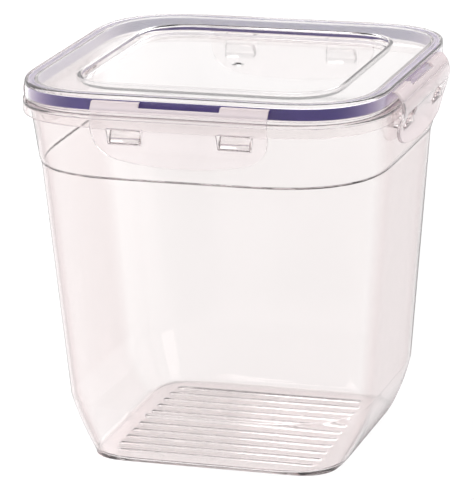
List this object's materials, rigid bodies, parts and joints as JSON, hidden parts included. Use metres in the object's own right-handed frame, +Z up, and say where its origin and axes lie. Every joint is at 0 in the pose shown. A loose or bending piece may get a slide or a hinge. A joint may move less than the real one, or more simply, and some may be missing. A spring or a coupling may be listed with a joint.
{
  "type": "food canister",
  "caption": "Square clear food canister with rounded corners, clip-lock lid on living hinges and a sealing gasket.",
  "frame": {"origin": "centre of the container's base, on the surface it stands on", "axes": "+Z up through the lid, +X to the right of the front face, -Y out of the front face"},
  "size_m": [0.203, 0.203, 0.2022],
  "materials": {
    "clear_body": "clear polypropylene, polished, faint grey-pink tint",
    "clear_lid": "clear polypropylene, polished",
    "clear_latch": "clear polypropylene, slightly milky",
    "violet_silicone": "soft silicone, satin violet-blue"
  },
  "bodies": {
    "container": {"container_body": "clear_body"},
    "lid": {"lid_panel": "clear_lid", "gasket": "violet_silicone", "front_latch_hinge": "clear_latch", "right_latch_hinge": "clear_latch", "back_latch_hinge": "clear_latch", "left_latch_hinge": "clear_latch"},
    "latch_front": {"front_latch": "clear_latch"},
    "latch_right": {"right_latch": "clear_latch"},
    "latch_back": {"back_latch": "clear_latch"},
    "latch_left": {"left_latch": "clear_latch"}
  },
  "joints": [
    {"name": "lid_lift", "type": "slide", "parent": "container", "child": "lid", "axis": [0, 0, 1], "range_m": [0, 0.15]},
    {"name": "front_latch_hinge", "type": "hinge", "parent": "lid", "child": "latch_front", "pos_m": [0, -0.0962, 0.1991], "axis": [-1, 0, 0], "range_deg": [0, 130], "deforming": ["front_latch_hinge"]},
    {"name": "right_latch_hinge", "type": "hinge", "parent": "lid", "child": "latch_right", "pos_m": [0.0962, 0, 0.1991], "axis": [0, -1, 0], "range_deg": [0, 130], "deforming": ["right_latch_hinge"]},
    {"name": "back_latch_hinge", "type": "hinge", "parent": "lid", "child": "latch_back", "pos_m": [0, 0.0962, 0.1991], "axis": [1, 0, 0], "range_deg": [0, 130], "deforming": ["back_latch_hinge"]},
    {"name": "left_latch_hinge", "type": "hinge", "parent": "lid", "child": "latch_left", "pos_m": [-0.0962, 0, 0.1991], "axis": [0, 1, 0], "range_deg": [0, 130], "deforming": ["left_latch_hinge"]}
  ]
}
